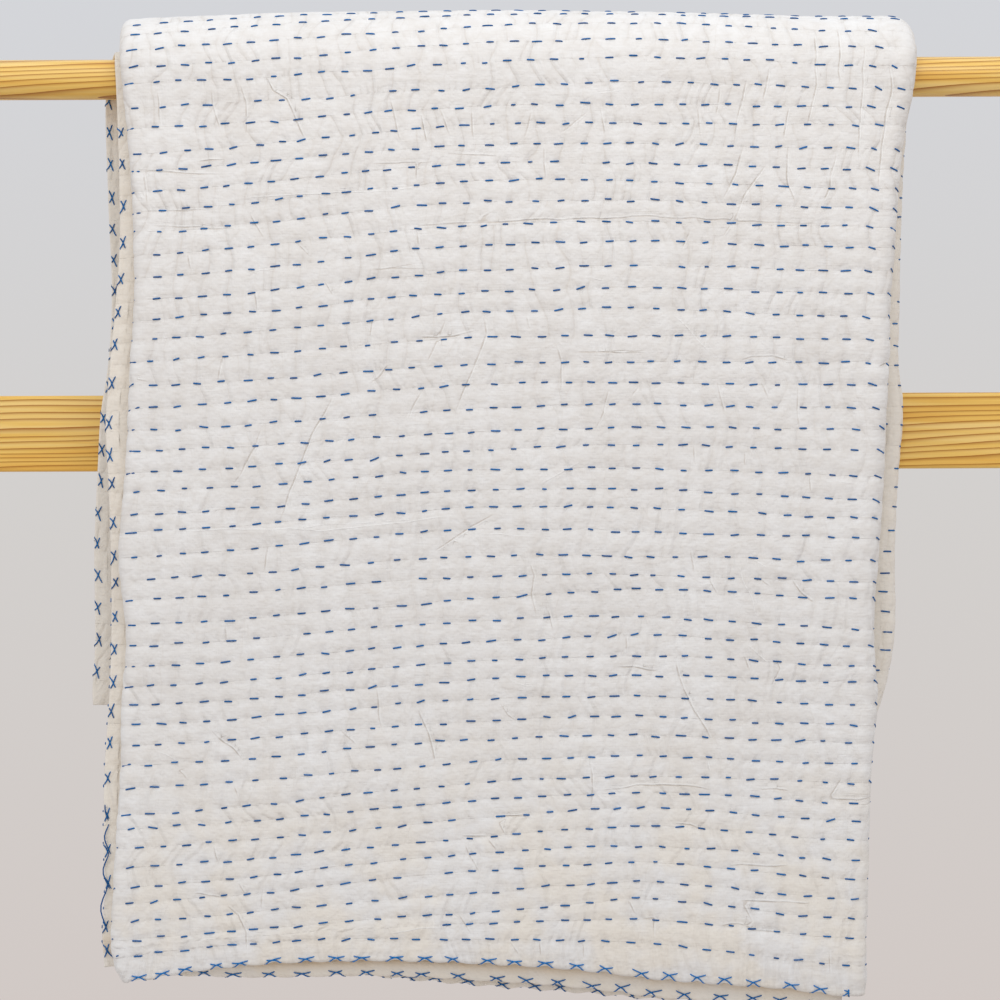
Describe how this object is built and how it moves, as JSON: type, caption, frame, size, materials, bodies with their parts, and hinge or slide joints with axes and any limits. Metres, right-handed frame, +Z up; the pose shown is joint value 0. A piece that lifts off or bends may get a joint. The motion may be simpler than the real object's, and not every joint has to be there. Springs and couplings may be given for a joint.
{
  "type": "kantha quilt on a round bar with a flat rail",
  "caption": "Puffy running-stitched cotton quilt, folded lengthwise in thirds and hung over a round wooden bar, with a flat wooden rail behind it.",
  "frame": {"origin": "centre of the round bar's left end face", "axes": "+X along the bar to its right end, +Z up, and the quilt's long front panel faces -Y with the flat rail on the +Y side"},
  "size_m": [1, 0.124, 0.866],
  "materials": {
    "cotton": "off-white cotton voile, quilted with blue running stitch",
    "pine": "clear satin varnish on golden pine"
  },
  "bodies": {
    "root": {"quilt": "cotton", "top_bar": "pine", "lower_rail": "pine"}
  },
  "joints": []
}
